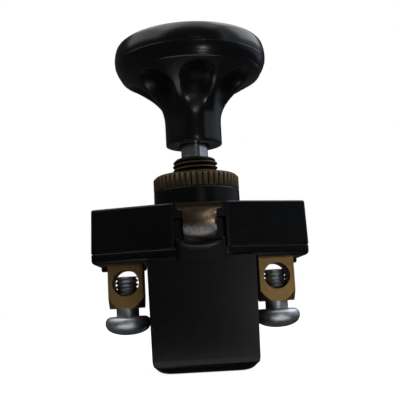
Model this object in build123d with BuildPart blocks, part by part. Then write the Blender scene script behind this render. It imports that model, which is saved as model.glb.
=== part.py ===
from build123d import *
import os
from math import radians, tan

# A two-terminal push-pull switch for a panel, pushed in (off).
# +Z runs up the rod to the knob, X runs from terminal to terminal, and the
# origin is the centre of the block's flat bottom. Everything is in millimetres.

# ---------------------------------------------------------------------------
# Driving dimensions
# ---------------------------------------------------------------------------

# travel and the gaps that the mechanism keeps
travel = 8.0                # stroke of the knob, from in to out
contact_gap = 0.3           # left between the contacts at full pull
stop_gap = 0.3              # left between the carrier and either stop
running_fit = 0.05          # radial, round parts that turn or slide
guide_fit = 0.15            # each side, flat parts that slide
seat_fit = 0.1              # each side, parts that only lie in place
hairline = 0.03             # radial, riveted and moulded-in parts
rod_hole_gap = 0.4          # radial, holes that the rod only passes through

# housing: block, flange and cover
block_width = 21.5          # along X, at the bottom
block_depth = 23.3          # along Y, at the bottom
block_draft = 0.9           # degrees, wider towards the flange
block_foot = 2.9            # radius round the bottom
block_corner = 1.5          # radius of the upright corners, under the flange
flange_thickness = 2.3
bar_depth = 24.0            # along Y, in the middle
bar_end_depth = 13.6        # along Y, at the ends
bar_middle = 12.0           # length of the stretch with full depth
bar_corner = 0.8            # radius of the upright corners
flange_round = 1.0          # lower edge of the flange
cover_height = 9.4
cover_draft = 1.5           # degrees
cover_round = 0.5           # upper edge of the cover
parting_round = 0.25        # edges where base and cover meet
lip_depth = 0.5             # rear lip, below the flange
lip_thickness = 1.2
lip_gap = 1.4               # from the lip's ends to the block

# cavity and mechanism
floor_thickness = 3.0
cavity_width = 16.0
cavity_depth = 18.0
cavity_corner = 1.0
rod_radius = 3.0
neck_radius = 2.0           # the rod's lower end, inside the carrier
thread_radius = 2.5         # the rod's upper end, inside the knob
rod_end_gap = 0.6           # rod to floor
rod_tail = 0.6              # rod below its clip
clip_groove_radius = 1.5
rod_clip_thickness = 0.7
rod_clip_radius = 3.6
carrier_washer_radius = 3.9
carrier_washer_thickness = 0.6
carrier_web = 3.4
carrier_boss_radius = 3.2
spring_wire = 0.8
spring_length = 4.9
spring_turns = 3.5
spring_gap = 0.5            # spring to boss
pocket_gap = 0.3            # spring to the wall of its pocket
bridge_width = 8.0
bridge_length = 14.8
bridge_thickness = 1.0
insulating_washer_radius = 4.5
insulating_washer_thickness = 1.0
contact_head = 0.6
contact_radius = 1.2
contact_shank = 0.6
contact_offset = 6.1        # contacts from the axis, along X
plate_thickness = 1.0
plate_length = 19.0
plate_width = 15.0
detent_wire = 1.2
detent_depth = 0.6          # grooves in the rod
detent_wall = 1.2           # cover between the hairpin's pocket and the strap

# bush, strap, collar and ring nut
bush_radius = 5.0           # M10 thread, major radius
bush_reach = 11.1           # above the cover
bush_chamfer = 0.7
bush_flange_radius = 6.5
bush_flange_flats = 10.6    # across two flats, which stop the bush turning
bush_flange_thickness = 1.6
strap_thickness = 0.6
strap_width = 9.7
strap_leg_width = 7.0
strap_neck_round = 0.6      # where the leg narrows
strap_bend = 1.0            # outer radius at the cover's edge
strap_ring_radius = 7.6     # round part of the strap, under the collar
strap_stand_off = 0.25      # strap in front of the middle of the cover
strap_shoulder = 1.6        # wide part of the leg, below the cover's top
strap_leg = 5.2             # straight leg, below the cover's top
lip_bend = 2.6              # outer radius of the lip that hooks inwards
lip_angle = 70.0            # degrees that the lip turns
groove_width = 10.7         # in the cover, round the strap
collar_radius = 9.5
collar_height = 3.8
nut_radius = 9.5
nut_height = 3.4
nut_chamfer = 0.6
flute_count = 48
flute_radius = 0.45

# nubs on the base that the strap hooks on
nub_width = 10.1
nub_stand_out = 1.0         # in front of the flange
nub_drop = 0.15             # below the flange
nub_rise = 1.3              # above the parting plane, at the front
nub_round = 0.7
tongue_width = 6.6
hook_gap = 0.1              # strap to tongue

# knob
knob_gap = 3.3              # neck above the bush, knob pushed in
knob_neck_radius = 6.3
knob_neck_length = 5.6
flare_height = 10.4
brim_radius = 15.9          # lower edge of the band
brim_round = 0.4
band_rise = 2.4             # brim to parting line
band_radius = 17.0          # at the parting line
knob_radius = 17.15
band_height = 3.2           # parting line to the upper edge
band_widest = 1.3           # parting line to the widest place
shoulder_radius = 15.2      # where the dome starts
shoulder_height = 1.3
dome_height = 3.5
scoop_count = 7
scoop_radius = 6.2
scoop_distance = 13.4         # scoop centres from the axis
scoop_height = 8.7          # scoop centres above the neck's end
scoop_turn = 6.0            # degrees, first scoop from the front
insert_radius = 4.5
insert_length = 12.0
insert_recess = 0.8         # from the neck's end
insert_counterbore = 1.5    # takes the full rod, up to its shoulder
insert_top = 0.8            # insert beyond the rod's thread

# terminals
terminal_gap = 1.34         # posts to the block, under the flange
bar_overhang = 6.8          # the bar beyond the terminals' axes
post_width = 7.5
post_length = 9.3
post_turned_radius = 3.95   # of the flat end
post_turned_rise = 2.3      # of the turned cone, at the corners
wire_hole_radius = 2.8
wire_hole_drop = 3.9        # below the flange
tenon_radius = 2.0
rivet_radius = 2.7
rivet_height = 0.8
strip_width = 6.2
strip_thickness = 0.8
strip_end = 3.2             # strip beyond the terminal's axis
screw_radius = 2.5          # M5
screw_length = 8.5          # below the head
screw_out = 1.7             # head from post
screw_head_radius = 4.9
screw_head_height = 4.0
screw_head_rim = 1.9        # side of the head
screw_head_round = 0.8      # edge of the head towards the post
slot_width = 1.2
slot_depth = 1.6
slot_turn = -35.0           # degrees, slots from the X axis

# ---------------------------------------------------------------------------
# Heights worked out from them
# ---------------------------------------------------------------------------

# the mechanism, from the cavity's floor upwards
z_rod_end = floor_thickness + rod_end_gap
z_rod_clip = z_rod_end + rod_tail
z_carrier_washer = z_rod_clip + rod_clip_thickness
z_web = z_carrier_washer + carrier_washer_thickness
z_channel = z_web + carrier_web
z_bridge = z_channel + spring_length
z_bridge_top = z_bridge + bridge_thickness
z_rod_shoulder = z_bridge_top + insulating_washer_thickness
z_moving_contact = z_bridge_top + contact_head
z_fixed_contact = z_moving_contact + travel + contact_gap
z_strip = z_fixed_contact + contact_head

# the housing closes over it
z_split = z_strip + strip_thickness
z_flange = z_split - flange_thickness
z_cover = z_split + cover_height
z_carrier = floor_thickness + stop_gap
z_carrier_top = z_split - stop_gap - travel
z_plate_top = z_split + plate_thickness
z_detent = z_plate_top + detent_wire / 2

# above the cover
z_bush_flange = z_cover - strap_thickness - bush_flange_thickness
z_collar = z_cover + collar_height
z_nut = z_collar + nut_height
z_bush = z_cover + bush_reach
z_neck = z_bush + knob_gap
z_flare = z_neck + knob_neck_length
z_brim = z_flare + flare_height
z_band = z_brim + band_rise
z_band_top = z_band + band_height
z_shoulder = z_band_top + shoulder_height
z_dome = z_shoulder + dome_height
z_insert = z_neck + insert_recess
z_rod_thread = z_insert + insert_counterbore
z_rod_top = z_insert + insert_length - insert_top

# below the flange
z_post = z_flange - post_length
z_wire_hole = z_flange - wire_hole_drop
z_screw_head = z_post - screw_out
z_screw_tip = z_screw_head + screw_length

# shared plan sizes
widen = 2 * tan(radians(block_draft))
flange_root = block_width / 2 + widen / 2 * z_flange
terminal_offset = flange_root + terminal_gap + post_width / 2
bar_length = 2 * (terminal_offset + bar_overhang)
bore_radius = rod_radius + running_fit
rod_hole_radius = rod_radius + rod_hole_gap
strap_out = bar_depth / 2 + strap_stand_off
strap_in = strap_out - strap_thickness
spring_mean = carrier_boss_radius + spring_gap + spring_wire / 2
pocket_radius = spring_mean + spring_wire / 2 + pocket_gap
groove_floor = strap_out - lip_bend - 2 * seat_fit
detent_reach = groove_floor - detent_wall - seat_fit
left_and_right = {"left": -1, "right": 1}


def bar_plan():
    """Sketch the boat-shaped plan that the flange and the cover share."""
    with BuildSketch() as plan:
        with BuildLine():
            Polyline(
                (-bar_middle / 2, -bar_depth / 2),
                (bar_middle / 2, -bar_depth / 2),
                (bar_length / 2, -bar_end_depth / 2),
                (bar_length / 2, bar_end_depth / 2),
                (bar_middle / 2, bar_depth / 2),
                (-bar_middle / 2, bar_depth / 2),
                (-bar_length / 2, bar_end_depth / 2),
                (-bar_length / 2, -bar_end_depth / 2),
                close=True,
            )
        make_face()
        fillet(plan.vertices(), radius=bar_corner)
    return plan.sketch


def edges_at(edges, height):
    """Pick the edges that lie at one height."""
    return edges.filter_by_position(Axis.Z, height - hairline, height + hairline)


def save(piece, name):
    """Label a finished piece and write it to its own file."""
    piece.part.label = name
    export_step(piece.part, f"parts/{name}.step")


os.makedirs("parts", exist_ok=True)

# ---------------------------------------------------------------------------
# Housing
# ---------------------------------------------------------------------------

# The base is one moulding: a drafted block with a rounded foot, and a flange
# on top of it whose ends carry the terminals.
with BuildPart() as housing_base:
    with BuildSketch(Plane.XY.offset(z_flange)):
        add(bar_plan())
    extrude(amount=flange_thickness)
    fillet(housing_base.faces().sort_by(Axis.Z)[0].outer_wire().edges(), flange_round)
    fillet(housing_base.faces().sort_by(Axis.Z)[-1].outer_wire().edges(), parting_round)

    # the block: drafted sides, whose corners soften down to the rounded foot
    for height, corner in ((0, block_foot + seat_fit), (z_flange, block_corner)):
        with BuildSketch(Plane.XY.offset(height)):
            RectangleRounded(
                block_width + widen * height,
                block_depth + widen * height,
                corner,
            )
    loft(ruled=True)
    fillet(housing_base.faces().sort_by(Axis.Z)[0].outer_wire().edges(), block_foot)

    # the rear lip that hangs under the flange's back edge
    with BuildSketch(Plane.XY.offset(z_flange - lip_depth)):
        offset(bar_plan(), amount=-seat_fit)
        offset(bar_plan(), amount=-seat_fit - lip_thickness, mode=Mode.SUBTRACT)
        with Locations((0, -bar_depth / 2)):
            Rectangle(bar_length, bar_depth + bar_end_depth, mode=Mode.SUBTRACT)
        Rectangle(block_width + 2 * lip_gap, 2 * bar_depth, mode=Mode.SUBTRACT)
    extrude(amount=lip_depth + flange_round)

    # nubs and tongues, front and back, that the strap's lips hook on
    for side in (-1, 1):
        nub_front = bar_depth / 2 + nub_stand_out
        hook_centre = strap_out - lip_bend
        tongue_front = strap_in - hook_gap
        bead = tongue_front - hook_centre
        tongue_back = hook_centre - seat_fit
        z_hook = z_cover - strap_leg
        with BuildSketch(Plane.YZ):
            with BuildLine():
                Polyline(
                    (side * tongue_back, z_flange - nub_drop),
                    (side * nub_front, z_flange - nub_drop),
                    (side * nub_front, z_split + nub_rise - nub_round),
                    (side * (nub_front - nub_round), z_split + nub_rise - nub_round / 4),
                    (side * tongue_back, z_split + nub_rise),
                    close=True,
                )
            make_face()
        extrude(amount=nub_width / 2, both=True)
        upright = housing_base.edges().filter_by(Axis.Z).sort_by(Axis.Y, reverse=side > 0)
        fillet(upright[0:2], nub_round)
        with BuildSketch(Plane.YZ):
            with BuildLine():
                Line((side * tongue_back, z_split), (side * hook_centre, z_split))
                Line((side * hook_centre, z_split), (side * hook_centre, z_hook - bead))
                RadiusArc(
                    (side * hook_centre, z_hook - bead),
                    (side * tongue_front, z_hook),
                    -side * bead,
                )
                Polyline(
                    (side * tongue_front, z_hook),
                    (side * tongue_front, z_hook + bead),
                    (side * tongue_back, z_hook + bead),
                    (side * tongue_back, z_split),
                )
            make_face()
        extrude(amount=tongue_width / 2, both=True)

    # the cavity for the carrier, and the beds of the contact strips
    with BuildSketch(Plane.XY.offset(floor_thickness)):
        RectangleRounded(cavity_width, cavity_depth, cavity_corner)
    extrude(amount=z_split - floor_thickness, mode=Mode.SUBTRACT)
    bed_length = terminal_offset + strip_end + seat_fit
    with BuildSketch(Plane.XY.offset(z_strip)):
        Rectangle(2 * bed_length, strip_width + 2 * seat_fit)
    extrude(amount=strip_thickness, mode=Mode.SUBTRACT)
    with BuildSketch(Plane.XY.offset(z_flange)):
        with GridLocations(2 * terminal_offset, 1, 2, 1):
            Circle(tenon_radius + hairline)
    extrude(amount=flange_thickness, mode=Mode.SUBTRACT)
save(housing_base, "housing_base")

# The cover is a drafted bar. Its grooves take the strap and the base's tongues,
# and its top is sunk for the strap and the bush's flange.
with BuildPart() as housing_cover:
    with BuildSketch(Plane.XY.offset(z_split)):
        add(bar_plan())
    extrude(amount=cover_height, taper=cover_draft)
    fillet(housing_cover.faces().sort_by(Axis.Z)[-1].outer_wire().edges(), cover_round)
    fillet(housing_cover.faces().sort_by(Axis.Z)[0].outer_wire().edges(), parting_round)

    # grooves for the strap's legs, deeper where the base's tongues stand
    for side in (-1, 1):
        with BuildSketch(Plane.XY.offset(z_split)):
            with Locations((0, side * (strap_in - seat_fit + bar_depth / 2))):
                Rectangle(groove_width, bar_depth)
        extrude(amount=cover_height, mode=Mode.SUBTRACT)
        with BuildSketch(Plane.XY.offset(z_split)):
            with Locations((0, side * (groove_floor + bar_depth / 2))):
                Rectangle(groove_width, bar_depth)
        pocket_top = z_cover - strap_leg + lip_bend - strap_thickness
        extrude(amount=pocket_top - z_split, mode=Mode.SUBTRACT)

    # top: channel for the strap, seat with two flats for the bush, rod hole
    with BuildSketch(Plane.XY.offset(z_cover)):
        Rectangle(strap_width + 2 * seat_fit, 2 * bar_depth)
        Circle(strap_ring_radius + seat_fit)
    extrude(amount=-strap_thickness, mode=Mode.SUBTRACT)
    channel_edges = edges_at(housing_cover.edges().filter_by(Axis.X), z_cover - strap_thickness)
    fillet(
        channel_edges.group_by(Axis.Y)[0] + channel_edges.group_by(Axis.Y)[-1],
        strap_bend - strap_thickness,
    )
    with BuildSketch(Plane.XY.offset(z_cover)):
        Circle(bush_flange_radius + seat_fit)
        Rectangle(
            3 * bush_flange_radius,
            bush_flange_flats + 2 * seat_fit,
            mode=Mode.INTERSECT,
        )
    extrude(amount=z_bush_flange - z_cover, mode=Mode.SUBTRACT)
    with BuildSketch(Plane.XY.offset(z_split)):
        Circle(rod_hole_radius)
    extrude(amount=cover_height, mode=Mode.SUBTRACT)

    # underside: bed of the insulating plate, pocket of the hairpin, rivet pockets
    with BuildSketch(Plane.XY.offset(z_split)):
        Rectangle(plate_length + 2 * seat_fit, plate_width + 2 * seat_fit)
    extrude(amount=plate_thickness, mode=Mode.SUBTRACT)
    with BuildSketch(Plane.XY.offset(z_plate_top)):
        Rectangle(2 * (rod_radius + 2 * detent_wire), 2 * (detent_reach + seat_fit))
    extrude(amount=detent_wire + seat_fit, mode=Mode.SUBTRACT)
    with BuildSketch(Plane.XY.offset(z_split)):
        with GridLocations(2 * terminal_offset, 1, 2, 1):
            Circle(rivet_radius + 2 * seat_fit)
    extrude(amount=rivet_height + seat_fit, mode=Mode.SUBTRACT)
save(housing_cover, "housing_cover")

# A fibre sheet lies over the strips and keeps the hairpin off them.
with BuildPart() as insulating_plate:
    with BuildSketch(Plane.XY.offset(z_split)):
        Rectangle(plate_length, plate_width)
        Circle(rod_hole_radius, mode=Mode.SUBTRACT)
    extrude(amount=plate_thickness)
save(insulating_plate, "insulating_plate")

# The strap goes over the cover and under the collar. Its legs narrow below the
# shoulder and end in lips that turn inwards under the tongues' beads.
with BuildPart() as retaining_clip:
    with BuildSketch(Plane.YZ):
        with BuildLine():
            over = Line((0, z_cover), (strap_out - strap_bend, z_cover))
            bend = JernArc(over @ 1, over % 1, strap_bend, -90)
            leg = Line(bend @ 1, (strap_out, z_cover - strap_leg))
            JernArc(leg @ 1, leg % 1, lip_bend, -lip_angle)
            offset(amount=strap_thickness, side=Side.RIGHT)
        make_face()
    extrude(amount=strap_width / 2, both=True)
    mirror(about=Plane.XZ)
    with BuildSketch(Plane.XZ) as front_view:
        with Locations((0, z_cover - strap_shoulder / 2)):
            Rectangle(strap_width, strap_shoulder)
        leg_drop = strap_leg + lip_bend
        with Locations((0, z_cover - leg_drop / 2)):
            Rectangle(strap_leg_width, leg_drop)
        neck_corners = front_view.vertices().group_by(Axis.Y)[1]
        fillet(neck_corners, radius=strap_neck_round)
    extrude(amount=bar_depth, both=True, mode=Mode.INTERSECT)
    with BuildSketch(Plane.XY.offset(z_cover)):
        Circle(strap_ring_radius)
    extrude(amount=-strap_thickness)
    with BuildSketch(Plane.XY.offset(z_cover)):
        Circle(bush_radius + seat_fit)
    extrude(amount=-strap_thickness, mode=Mode.SUBTRACT)
save(retaining_clip, "retaining_clip")

# ---------------------------------------------------------------------------
# Bush, collar and ring nut
# ---------------------------------------------------------------------------

# The bush's flange, with two flats, is held in the cover by the strap.
with BuildPart() as threaded_bush:
    with BuildSketch(Plane.XY.offset(z_bush_flange)):
        Circle(bush_flange_radius)
        Rectangle(3 * bush_flange_radius, bush_flange_flats, mode=Mode.INTERSECT)
    extrude(amount=bush_flange_thickness)
    with BuildSketch(Plane.XY.offset(z_bush_flange)):
        Circle(bush_radius)
    extrude(amount=z_bush - z_bush_flange)
    chamfer(threaded_bush.edges().sort_by(Axis.Z)[-1], bush_chamfer)
    with BuildSketch(Plane.XY.offset(z_bush_flange)):
        Circle(bore_radius)
    extrude(amount=z_bush - z_bush_flange, mode=Mode.SUBTRACT)
save(threaded_bush, "threaded_bush")

# The collar is the shoulder that the panel bears on.
with BuildPart() as mounting_collar:
    with BuildSketch(Plane.XY.offset(z_cover)):
        Circle(collar_radius)
    extrude(amount=collar_height)
    fillet(mounting_collar.edges(), parting_round)
    with BuildSketch(Plane.XY.offset(z_cover)):
        Circle(bush_radius + seat_fit)
    extrude(amount=collar_height, mode=Mode.SUBTRACT)
save(mounting_collar, "mounting_collar")

# The ring nut is turned with a chamfer and fluted all round for the fingers.
with BuildPart() as ring_nut:
    with BuildSketch(Plane.XY.offset(z_collar)):
        Circle(nut_radius)
    extrude(amount=nut_height)
    chamfer(ring_nut.edges().sort_by(Axis.Z)[-1], nut_chamfer)
    with BuildSketch(Plane.XY.offset(z_collar)):
        Circle(bush_radius + running_fit)
        with PolarLocations(nut_radius + flute_radius / 2, flute_count):
            Circle(flute_radius)
    extrude(amount=nut_height, mode=Mode.SUBTRACT)
save(ring_nut, "ring_nut")

# ---------------------------------------------------------------------------
# Knob and rod
# ---------------------------------------------------------------------------

# The knob is a dished disc on a neck. Seven spherical scoops cut into the flare
# leave ribs between them for the fingers.
flare = [(0.11, 0.34), (0.44, 0.69), (0.88, 0.93)]
with BuildPart() as knob:
    with BuildSketch(Plane.XZ):
        with BuildLine():
            Polyline((0, z_neck), (knob_neck_radius, z_neck), (knob_neck_radius, z_flare))
            Spline(
                (knob_neck_radius, z_flare),
                *[
                    (
                        knob_neck_radius + across * (brim_radius - knob_neck_radius),
                        z_flare + up * flare_height,
                    )
                    for across, up in flare
                ],
                (brim_radius, z_brim),
            )
            band_middle = (brim_radius + band_radius) / 2 + (knob_radius - band_radius)
            ThreePointArc(
                (brim_radius, z_brim),
                (band_middle, z_brim + band_rise / 2),
                (band_radius, z_band),
            )
            ThreePointArc(
                (band_radius, z_band),
                (knob_radius, z_band + band_widest),
                (band_radius - (knob_radius - band_radius), z_band_top),
            )
            TangentArc(
                (band_radius - (knob_radius - band_radius), z_band_top),
                (shoulder_radius, z_shoulder),
                tangent=(band_radius - knob_radius, band_height - band_widest),
            )
            TangentArc((0, z_dome), (shoulder_radius, z_shoulder), tangent=(1, 0))
            Line((0, z_dome), (0, z_neck))
        make_face()
    revolve(axis=Axis.Z)
    fillet(edges_at(knob.edges(), z_brim), brim_round)
    with PolarLocations(scoop_distance, scoop_count, start_angle=scoop_turn - 90):
        with Locations(Location((0, 0, z_neck + scoop_height), (0, 90, 0))):
            Sphere(scoop_radius, mode=Mode.SUBTRACT)
    with BuildSketch(Plane.XY.offset(z_insert)):
        Circle(insert_radius + hairline)
    extrude(amount=insert_length, mode=Mode.SUBTRACT)
    with BuildSketch(Plane.XY.offset(z_neck)):
        Circle(rod_hole_radius)
    extrude(amount=insert_recess, mode=Mode.SUBTRACT)
save(knob, "knob")

# The brass insert takes the rod's thread and sits on the rod's upper shoulder.
with BuildPart() as knob_insert:
    with BuildSketch(Plane.XY.offset(z_insert)):
        Circle(insert_radius)
        Circle(thread_radius + hairline, mode=Mode.SUBTRACT)
    extrude(amount=insert_length)
    with BuildSketch(Plane.XY.offset(z_insert)):
        Circle(rod_radius + hairline)
    extrude(amount=insert_counterbore, mode=Mode.SUBTRACT)
save(knob_insert, "knob_insert")

# The rod is turned: thread, full diameter with two detent grooves, neck, groove.
with BuildPart() as push_rod:
    for radius, low, high in (
        (neck_radius, z_rod_end, z_rod_shoulder),
        (rod_radius, z_rod_shoulder, z_rod_thread),
        (thread_radius, z_rod_thread, z_rod_top),
    ):
        with BuildSketch(Plane.XY.offset(low)):
            Circle(radius)
        extrude(amount=high - low)
    chamfer(push_rod.faces().sort_by(Axis.Z)[-1].edges(), rod_tail / 2)
    chamfer(push_rod.faces().sort_by(Axis.Z)[0].edges(), rod_tail / 2)
    for height in (z_detent, z_detent - travel):
        with BuildSketch(Plane.XZ):
            with Locations((rod_radius - detent_depth + detent_wire / 2 + hairline, height)):
                Circle(detent_wire / 2 + hairline)
        revolve(axis=Axis.Z, mode=Mode.SUBTRACT)
    with BuildSketch(Plane.XY.offset(z_rod_clip)):
        Circle(neck_radius + seat_fit)
        Circle(clip_groove_radius, mode=Mode.SUBTRACT)
    extrude(amount=rod_clip_thickness, mode=Mode.SUBTRACT)
save(push_rod, "push_rod")

# An E-clip: a ring with an open mouth and three lobes that grip the groove.
with BuildPart() as rod_clip:
    with BuildSketch(Plane.XY.offset(z_rod_clip)):
        Circle(rod_clip_radius)
        Circle((rod_clip_radius + clip_groove_radius) / 2, mode=Mode.SUBTRACT)
        with PolarLocations((rod_clip_radius + clip_groove_radius) / 2, 3):
            Rectangle(rod_clip_radius - clip_groove_radius - spring_gap, clip_groove_radius)
        Circle(clip_groove_radius + hairline, mode=Mode.SUBTRACT)
        with Locations((-rod_clip_radius, 0)):
            Rectangle(2 * rod_clip_radius, 2 * clip_groove_radius, mode=Mode.SUBTRACT)
    extrude(amount=rod_clip_thickness)
save(rod_clip, "rod_clip")

# ---------------------------------------------------------------------------
# Carriage
# ---------------------------------------------------------------------------

# The carrier slides in the cavity. A channel along X holds the bridge, a round
# pocket the spring, and a boss in its middle guides both.
with BuildPart() as contact_carrier:
    with BuildSketch(Plane.XY.offset(z_carrier)):
        RectangleRounded(
            cavity_width - 2 * guide_fit, cavity_depth - 2 * guide_fit, cavity_corner
        )
    extrude(amount=z_carrier_top - z_carrier)
    with BuildSketch(Plane.XY.offset(z_channel)):
        Rectangle(2 * cavity_width, bridge_width + 2 * guide_fit)
        Circle(pocket_radius)
        Circle(carrier_boss_radius, mode=Mode.SUBTRACT)
    extrude(amount=z_carrier_top - z_channel, mode=Mode.SUBTRACT)
    with BuildSketch(Plane.XY.offset(z_bridge_top)):
        Circle(pocket_radius)
    extrude(amount=z_carrier_top - z_bridge_top, mode=Mode.SUBTRACT)
    with BuildSketch(Plane.XY.offset(z_carrier)):
        Circle(carrier_washer_radius + rod_hole_gap)
    extrude(amount=z_web - z_carrier, mode=Mode.SUBTRACT)
    with BuildSketch(Plane.XY.offset(z_web)):
        Circle(neck_radius + running_fit)
    extrude(amount=z_bridge_top - z_web, mode=Mode.SUBTRACT)
save(contact_carrier, "contact_carrier")

# Washers above the bridge and below the carrier.
with BuildPart() as insulating_washer:
    with BuildSketch(Plane.XY.offset(z_bridge_top)):
        Circle(insulating_washer_radius)
        Circle(neck_radius + running_fit, mode=Mode.SUBTRACT)
    extrude(amount=insulating_washer_thickness)
save(insulating_washer, "insulating_washer")

with BuildPart() as carrier_washer:
    with BuildSketch(Plane.XY.offset(z_carrier_washer)):
        Circle(carrier_washer_radius)
        Circle(neck_radius + running_fit, mode=Mode.SUBTRACT)
    extrude(amount=carrier_washer_thickness)
save(carrier_washer, "carrier_washer")

# The bridge joins both contacts when the knob is out.
with BuildPart() as contact_bridge:
    with BuildSketch(Plane.XY.offset(z_bridge)):
        RectangleRounded(bridge_length, bridge_width, bridge_thickness)
        Circle(carrier_boss_radius + seat_fit, mode=Mode.SUBTRACT)
        with GridLocations(2 * contact_offset, 1, 2, 1):
            Circle(contact_shank + hairline, mode=Mode.SUBTRACT)
    extrude(amount=bridge_thickness)
save(contact_bridge, "contact_bridge")

# The spring presses the bridge up against the insulating washer.
with BuildPart() as pressure_spring:
    rise = spring_length - spring_wire
    with BuildLine():
        coil = Helix(
            pitch=rise / spring_turns,
            height=rise,
            radius=spring_mean,
            center=(0, 0, z_channel + spring_wire / 2),
        )
    with BuildSketch(Plane(origin=coil @ 0, z_dir=coil % 0)):
        Circle(spring_wire / 2)
    sweep(is_frenet=True)
save(pressure_spring, "pressure_spring")

# Contact rivets: heads face each other across the switching gap.
for side_name, side in left_and_right.items():
    with BuildPart() as moving_contact:
        with BuildSketch(Plane.XY.offset(z_bridge_top)):
            with Locations((side * contact_offset, 0)):
                Circle(contact_radius)
        extrude(amount=contact_head)
        with BuildSketch(Plane.XY.offset(z_bridge)):
            with Locations((side * contact_offset, 0)):
                Circle(contact_shank)
        extrude(amount=bridge_thickness)
    save(moving_contact, f"moving_contact_{side_name}")

    with BuildPart() as fixed_contact:
        with BuildSketch(Plane.XY.offset(z_fixed_contact)):
            with Locations((side * contact_offset, 0)):
                Circle(contact_radius)
        extrude(amount=contact_head)
        with BuildSketch(Plane.XY.offset(z_strip)):
            with Locations((side * contact_offset, 0)):
                Circle(contact_shank)
        extrude(amount=strip_thickness)
    save(fixed_contact, f"fixed_contact_{side_name}")

# The hairpin lies on the fibre sheet and grips the rod's groove from both sides.
with BuildPart() as detent_spring:
    leg_x = rod_radius - detent_depth + detent_wire / 2 + hairline
    leg_start = detent_wire - detent_reach
    leg_end = detent_reach - detent_wire / 2 - leg_x
    with BuildLine():
        first = Line((-leg_x, leg_start, z_detent), (-leg_x, leg_end, z_detent))
        turn = TangentArc(first @ 1, (leg_x, leg_end, z_detent), tangent=first % 1)
        Line(turn @ 1, (leg_x, leg_start, z_detent))
    with BuildSketch(Plane(origin=first @ 0, z_dir=first % 0)):
        Circle(detent_wire / 2)
    sweep()
save(detent_spring, "detent_spring")

# ---------------------------------------------------------------------------
# Terminals
# ---------------------------------------------------------------------------

for side_name, side in left_and_right.items():
    # Square bar, turned to a cone at the free end and to a tenon at the other.
    # The tenon goes through the flange and the strip and is riveted over.
    with BuildPart() as terminal_post:
        with BuildSketch(Plane.XY.offset(z_post)):
            with Locations((side * terminal_offset, 0)):
                Rectangle(post_width, post_width)
        extrude(amount=post_length)
        with BuildSketch(Plane.XZ):
            with BuildLine():
                turned = post_turned_radius
                diagonal = post_width
                slope = post_turned_rise / (post_width / 2 * 2**0.5 - turned)
                axis_x = side * terminal_offset
                Polyline(
                    (axis_x, z_post),
                    (axis_x + turned, z_post),
                    (axis_x + diagonal, z_post + slope * (diagonal - turned)),
                    (axis_x + diagonal, z_split + post_length),
                    (axis_x, z_split + post_length),
                    close=True,
                )
            make_face()
        revolve(axis=Axis((side * terminal_offset, 0, 0), (0, 0, 1)), mode=Mode.INTERSECT)
        with BuildSketch(Plane.XY.offset(z_flange)):
            with Locations((side * terminal_offset, 0)):
                Circle(tenon_radius)
        extrude(amount=z_split - z_flange)
        with BuildSketch(Plane.XY.offset(z_split)):
            with Locations((side * terminal_offset, 0)):
                Circle(rivet_radius)
        extrude(amount=rivet_height)
        chamfer(terminal_post.edges().sort_by(Axis.Z)[-1], rivet_height / 2)
        with BuildSketch(Plane.XZ):
            with Locations((side * terminal_offset, z_wire_hole)):
                Circle(wire_hole_radius)
        extrude(amount=post_width, both=True, mode=Mode.SUBTRACT)
        with BuildSketch(Plane.XY.offset(z_post)):
            with Locations((side * terminal_offset, 0)):
                Circle(screw_radius + running_fit)
        extrude(amount=z_wire_hole - z_post, mode=Mode.SUBTRACT)
    save(terminal_post, f"terminal_post_{side_name}")

    # Slotted pan-head screw, driven from below. Its tip clamps the wire.
    with BuildPart() as terminal_screw:
        with BuildSketch(Plane.XZ):
            with BuildLine():
                centre_x = side * terminal_offset
                Line((centre_x, z_screw_head - screw_head_height), (centre_x, z_screw_tip))
                Polyline(
                    (centre_x, z_screw_tip),
                    (centre_x + screw_radius - 2 * seat_fit, z_screw_tip),
                    (centre_x + screw_radius, z_screw_tip - 2 * seat_fit),
                    (centre_x + screw_radius, z_screw_head),
                    (centre_x + screw_head_radius - screw_head_round, z_screw_head),
                )
                RadiusArc(
                    (centre_x + screw_head_radius - screw_head_round, z_screw_head),
                    (centre_x + screw_head_radius, z_screw_head - screw_head_round),
                    screw_head_round,
                )
                Line(
                    (centre_x + screw_head_radius, z_screw_head - screw_head_round),
                    (centre_x + screw_head_radius, z_screw_head - screw_head_rim),
                )
                TangentArc(
                    (centre_x, z_screw_head - screw_head_height),
                    (centre_x + screw_head_radius, z_screw_head - screw_head_rim),
                    tangent=(1, 0),
                )
            make_face()
        revolve(axis=Axis((side * terminal_offset, 0, 0), (0, 0, 1)))
        with BuildSketch(Plane.XY.offset(z_screw_head - screw_head_height)):
            with Locations((side * terminal_offset, 0)):
                Rectangle(3 * screw_head_radius, slot_width, rotation=slot_turn)
        extrude(amount=slot_depth, mode=Mode.SUBTRACT)
    save(terminal_screw, f"terminal_screw_{side_name}")

    # Strip from the post to the cavity, flush with the flange's top.
    with BuildPart() as contact_strip:
        strip_outer = terminal_offset + strip_end
        strip_inner = contact_offset - contact_radius + 2 * seat_fit
        with BuildSketch(Plane.XY.offset(z_strip)):
            with Locations((side * (strip_outer + strip_inner) / 2, 0)):
                Rectangle(strip_outer - strip_inner, strip_width)
            with Locations((side * terminal_offset, 0)):
                Circle(tenon_radius + hairline, mode=Mode.SUBTRACT)
            with Locations((side * contact_offset, 0)):
                Circle(contact_shank + hairline, mode=Mode.SUBTRACT)
        extrude(amount=strip_thickness)
    save(contact_strip, f"contact_strip_{side_name}")
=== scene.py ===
import bpy
import bmesh
from math import asin, atan2, cos, hypot, pi, radians, sin, sqrt
from mathutils import Matrix, Vector
from mathutils.geometry import interpolate_bezier


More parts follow.
